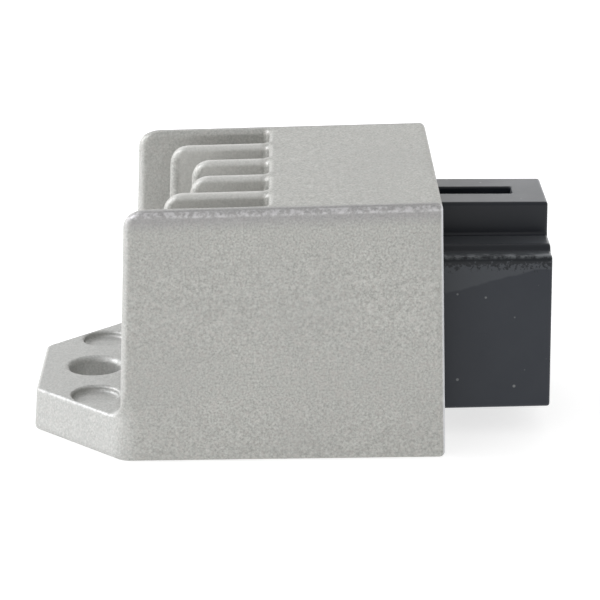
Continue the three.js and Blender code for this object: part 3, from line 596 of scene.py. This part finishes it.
def socket_plastic():
    n = Surface("socket_plastic")
    x, across, z = n.millimetres()
    cloud = n.noise(120, 3.0, 0.6)
    clouded = n.span(cloud, 0.35, 0.7)
    tone = n.mix(clouded, (0.005, 0.007, 0.011), (0.009, 0.011, 0.016))

    # Handling leaves a dull film on the side walls, paler above a slanting line
    side_wall = n.span(across, SHELL_HALF - 1.1, SHELL_HALF - 0.4)
    film = n.mix(clouded, (0.017, 0.021, 0.029), (0.023, 0.027, 0.035))
    tone = n.mix(side_wall, tone, film)
    pale_from = n.math("MINIMUM", n.span(x, BODY_X1, MOUTH_X, FILM_Z[0], FILM_Z[1]), FILM_TOP_Z)
    wander = n.span(n.noise(260, 3.0), 0.3, 0.7, -0.3, 0.3)
    above_line = n.math("ADD", n.math("SUBTRACT", z, pale_from), wander)
    pale_film = n.product(n.span(above_line, 0.0, 0.3), side_wall)
    tone = n.mix(pale_film, tone, (0.042, 0.047, 0.055))

    # The film is worn off in flecks under the top edge, and the edge itself is scuffed
    wear = n.math("ADD", n.noise(2000, 2.0, 0.7), n.span(z, WORN_Z, SHOULDER_Z, -0.34, 0.22))
    worn = n.product(n.span(wear, 0.4, 0.52), side_wall)
    tone = n.mix(worn, tone, (0.003, 0.005, 0.008))
    on_edge = n.span(across, SHELL_HALF - 1.9, SHELL_HALF - 1.1)
    at_shoulder = n.span(z, SHOULDER_Z - 0.5, SHOULDER_Z)
    scuffs = n.span(n.noise(900, 3.0, 0.7), 0.42, 0.58, 0.0, 0.9)
    tone = n.mix(n.product(on_edge, at_shoulder, scuffs), tone, (0.17, 0.18, 0.19))

    dust = n.span(n.from_spots(310), 0.08, 0.045, 0.0, 0.4)
    tone = n.mix(dust, tone, (0.35, 0.36, 0.36))
    rough = n.span(cloud, 0.3, 0.7, 0.34, 0.44)
    normal = n.bump(n.noise(2200, 2.0), 0.25, 0.04)
    return n.finish(
        base_color=tone, roughness=rough, normal=normal, specular_ior_level=0.25,
        coat_weight=0.35, coat_roughness=0.3, coat_ior=1.35,
        sheen_weight=0.3, sheen_roughness=0.35, sheen_tint=(0.92, 0.96, 1.0),
    )


def epoxy():
    n = Surface("epoxy")
    cloud = n.noise(60, 2.0)
    tone = n.mix(n.span(cloud, 0.3, 0.7), (0.012, 0.012, 0.013), (0.022, 0.022, 0.024))
    normal = n.bump(n.noise(160, 1.0), 0.3, 0.2)
    return n.finish(base_color=tone, roughness=n.span(cloud, 0.3, 0.7, 0.12, 0.24), normal=normal)


def plated_metal(name, low, high, stretch):
    """Tin plate in colours from low to high, brushed along the axis with the least stretch."""
    n = Surface(name)
    brushed = n.noise(500, 3.0, 0.6, stretch)
    cloud = n.noise(220, 2.0)
    tone = n.mix(n.span(cloud, 0.3, 0.7), low, high)
    rough = n.span(brushed, 0.3, 0.7, 0.22, 0.42)
    normal = n.bump(brushed, 0.2, 0.02)
    return n.finish(base_color=tone, metallic=1.0, roughness=rough, normal=normal)


def moulded(name, low, high, rough_low, rough_high, grain=1500):
    """A moulded, coated or glassy body in colours from low to high."""
    n = Surface(name)
    cloud = n.noise(300, 3.0)
    tone = n.mix(n.span(cloud, 0.3, 0.7), low, high)
    rough = n.span(cloud, 0.3, 0.7, rough_low, rough_high)
    normal = n.bump(n.noise(grain, 2.0), 0.35, 0.03)
    return n.finish(base_color=tone, roughness=rough, normal=normal)


# The CAD nodes' better materials, by slot: the arguments of plated_metal and of moulded
PLATED_LOOKS = {
    "tinned_brass": ((0.62, 0.60, 0.55), (0.72, 0.70, 0.65), (0.15, 1, 1)),
    "tinned_copper": ((0.64, 0.62, 0.59), (0.75, 0.73, 0.70), (1, 0.2, 1)),
}
MOULDED_LOOKS = {
    "board_laminate": ((0.02, 0.13, 0.055), (0.03, 0.18, 0.08), 0.25, 0.4, 900),
    "moulded_package": (grey(0.02), grey(0.035), 0.5, 0.65),
    "silicone_pad": ((0.33, 0.35, 0.38), (0.40, 0.42, 0.45), 0.6, 0.8, 1100),
    "capacitor_sleeve": ((0.02, 0.025, 0.04), (0.03, 0.04, 0.06), 0.2, 0.35),
    "seal_rubber": (grey(0.01), grey(0.02), 0.6, 0.8),
    "film_capacitor_case": ((0.30, 0.05, 0.02), (0.40, 0.07, 0.03), 0.25, 0.4),
    "diode_glass": ((0.45, 0.16, 0.05), (0.62, 0.24, 0.08), 0.05, 0.15),
    "resistor_coat": ((0.50, 0.36, 0.18), (0.60, 0.45, 0.25), 0.35, 0.5),
}


# ---------------------------------------------------------------- camera, light and floor


def add_camera():
    forward = Vector((
        math.sin(CAMERA_YAW) * math.cos(CAMERA_PITCH),
        math.cos(CAMERA_YAW) * math.cos(CAMERA_PITCH),
        -math.sin(CAMERA_PITCH),
    ))
    right = forward.cross(Vector((0, 0, 1))).normalized()
    up = right.cross(forward)
    rolled_right = right * math.cos(CAMERA_ROLL) + up * math.sin(CAMERA_ROLL)
    rolled_up = up * math.cos(CAMERA_ROLL) - right * math.sin(CAMERA_ROLL)
    data = bpy.data.cameras.new("camera")
    data.lens = CAMERA_LENS
    data.sensor_width = CAMERA_SENSOR
    data.clip_start = CAMERA_CLIP[0]
    data.clip_end = CAMERA_CLIP[1]
    camera = bpy.data.objects.new("camera", data)
    camera.matrix_world = Matrix((
        (rolled_right.x, rolled_up.x, -forward.x, CAMERA_AT.x),
        (rolled_right.y, rolled_up.y, -forward.y, CAMERA_AT.y),
        (rolled_right.z, rolled_up.z, -forward.z, CAMERA_AT.z),
        (0, 0, 0, 1),
    ))
    bpy.context.scene.collection.objects.link(camera)
    bpy.context.scene.camera = camera


def add_softbox():
    data = bpy.data.lights.new("left_softbox", "AREA")
    data.shape = "RECTANGLE"
    data.size = SOFTBOX_SIZE
    data.size_y = SOFTBOX_SIZE
    data.energy = SOFTBOX_POWER
    data.color = SOFTBOX_COLOUR
    light = bpy.data.objects.new("left_softbox", data)
    light.location = SOFTBOX_AT
    light.rotation_mode = "QUATERNION"
    light.rotation_quaternion = (Vector(SOFTBOX_TARGET) - Vector(SOFTBOX_AT)).to_track_quat("-Z", "Y")
    bpy.context.scene.collection.objects.link(light)


def add_sky():
    world = bpy.data.worlds.new("studio")
    world.use_nodes = True
    n = Nodes(world.node_tree)
    generated = n.add("ShaderNodeTexCoord").outputs["Generated"]
    direction = n.add("ShaderNodeSeparateXYZ", {0: generated}).outputs
    front_to_back = n.span(direction["Y"], -1.0, 1.0, SKY_FRONT, SKY_BACK)
    left = n.span(direction["X"], -1.0, 0.0, SKY_LEFT, 0.0)
    horizon = n.math("ADD", front_to_back, left)
    low_share = n.span(direction["Z"], *SKY_FADE, 1.0, 0.0)
    strength = n.product(n.math("SUBTRACT", horizon, SKY_ZENITH), low_share)
    strength = n.math("ADD", strength, SKY_ZENITH)
    background = world.node_tree.nodes["Background"]
    n.set(background.inputs["Strength"], strength)
    n.set(background.inputs["Color"], (1, 1, 1, 1))
    bpy.context.scene.world = world
    bpy.context.scene.view_settings.view_transform = "Standard"


def add_floor():
    mesh = bpy.data.meshes.new("floor")
    corners = [(x * FLOOR_HALF, y * FLOOR_HALF, 0) for x, y in ((-1, -1), (1, -1), (1, 1), (-1, 1))]
    mesh.from_pydata(corners, [], [(0, 1, 2, 3)])
    floor = bpy.data.objects.new("floor", mesh)
    paint = Surface("floor_paint").finish(
        base_color=grey(FLOOR_GREY), roughness=0.8,
        emission_color=grey(1.0), emission_strength=FLOOR_GLOW,
    )
    mesh.materials.append(paint)
    bpy.context.scene.collection.objects.link(floor)


# ---------------------------------------------------------------- the visible pieces


def casting_surface():
    rib_stretches = [near(place * RIB_PITCH, 3.7, 3.7, 0.32) for place in RIB_PLACES]
    side_stretches = [near(BODY_HALF, 1.4, 0.3, 0.2)]
    xs = grid_lines(TAB_TIP_X - 0.5, BODY_X1 + 0.7, 1.3, [
        near(TAB_TIP_X, 0.5, 1.7, 0.3),
        near(BOLT_X, 5.2, 4.4, 0.36),
        near(BODY_X0, 0.2, 3.5, 0.27),
        near(BODY_X0, -3.5, 12.4, 0.33),
        near(GROOVE_X, 2.6, 2.4, 0.3),
        near(POCKET_X, 0.6, 1.2, 0.5),
        near(BODY_X1, 1.7, 0.7, 0.22),
    ])
    across = rib_stretches + mirrored(side_stretches) + side_stretches
    ys = grid_lines(-BODY_HALF - 0.3, BODY_HALF + 0.3, 1.1, across)
    zs = grid_lines(-0.35, TOP_AT_X1 + 0.6, 1.5, [
        near(0, 0.35, 1.3, 0.22),
        near(POCKET_Z[0], 0.6, 1.8, 0.4),
        near(TAB_TOP, 1.7, 2.1, 0.27),
        near(POCKET_Z[1], 1.7, 0.8, 0.4),
        near(TOP_AT_X1, 3.3, 0.6, 0.24),
    ])
    return surface_net(casting, xs, ys, zs)


def socket_surface():
    side_stretches = [
        near(LATCH_HALF, 2.05, 1.75, 0.22),
        near(STEP_HALF, 2.3, 0.7, 0.25),
        near(SHELL_HALF, 2.25, 1.45, 0.22),
    ]
    window_stretch = near(0, WINDOW_HALF + 0.65, WINDOW_HALF + 0.65, 0.22)
    xs = grid_lines(SHELL_X0 - 0.6, MOUTH_X + 0.5, 1.0, [
        near(SHELL_X0, 0.6, 2.2, 0.22),
        near(SOCKET_FLOOR_X, 0.6, 1.2, 0.2),
        near(WINDOW_X[1], 0.6, 0.6, 0.2),
        near(MOUTH_X, 1.9, 0.5, 0.14),
    ])
    across = mirrored(side_stretches) + [window_stretch] + side_stretches
    ys = grid_lines(-SHELL_HALF - 1.45, SHELL_HALF + 1.45, 1.0, across)
    zs = grid_lines(SHELL_Z0 - 1.45, LATCH_Z + 1.5, 1.0, [
        near(SHELL_Z0, 1.45, 2.35, 0.22),
        near(SHOULDER_Z, 2.25, 2.15, 0.18),
        near(LATCH_Z, 2.2, 1.5, 0.18),
    ])
    return surface_net(socket, xs, ys, zs)


def epoxy_skin():
    return surface_net(
        epoxy_surface,
        grid_lines(POTTING_X - 1.2, POTTING_X + 1.6, 0.14),
        grid_lines(-POCKET_HALF - 0.6, POCKET_HALF + 0.6, 0.45),
        grid_lines(POCKET_Z[0] - 0.6, POCKET_Z[1] + 0.6, 0.45),
    )


def dress_cad_nodes(frame, looks):
    """Gives each CAD node whose slot is in looks its better material, and the blades a fine bevel."""
    for entry in frame["record"]["subparts"]:
        look = looks.get(entry["material_slot"])
        if look is None:
            continue
        piece = frame["nodes"][entry["node"]]
        piece.data.materials.clear()
        piece.data.materials.append(look)
        if entry["node"].startswith("terminal_blade"):
            edge = piece.modifiers.new("edges", "BEVEL")
            edge.width = BLADE_EDGE * MM
            edge.segments = 2


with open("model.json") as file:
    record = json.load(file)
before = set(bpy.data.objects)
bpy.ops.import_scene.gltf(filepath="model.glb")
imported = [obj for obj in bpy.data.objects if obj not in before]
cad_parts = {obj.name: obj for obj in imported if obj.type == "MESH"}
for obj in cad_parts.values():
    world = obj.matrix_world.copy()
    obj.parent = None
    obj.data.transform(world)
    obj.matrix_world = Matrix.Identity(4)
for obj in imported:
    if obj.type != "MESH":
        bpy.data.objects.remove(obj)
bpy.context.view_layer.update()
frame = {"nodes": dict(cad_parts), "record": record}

aluminium = cast_aluminium()
plastic = socket_plastic()
potting = epoxy()
looks = {"epoxy": potting}
looks.update({slot: plated_metal(slot, *look) for slot, look in PLATED_LOOKS.items()})
looks.update({slot: moulded(slot, *look) for slot, look in MOULDED_LOOKS.items()})

add_camera()
add_softbox()
add_sky()
add_floor()
mesh_piece("housing_casting", casting_surface(), aluminium, ["housing"])
mesh_piece("socket_shell", socket_surface(), plastic, ["connector_shell"])
mesh_piece("epoxy_surface", epoxy_skin(), potting)
dress_cad_nodes(frame, looks)
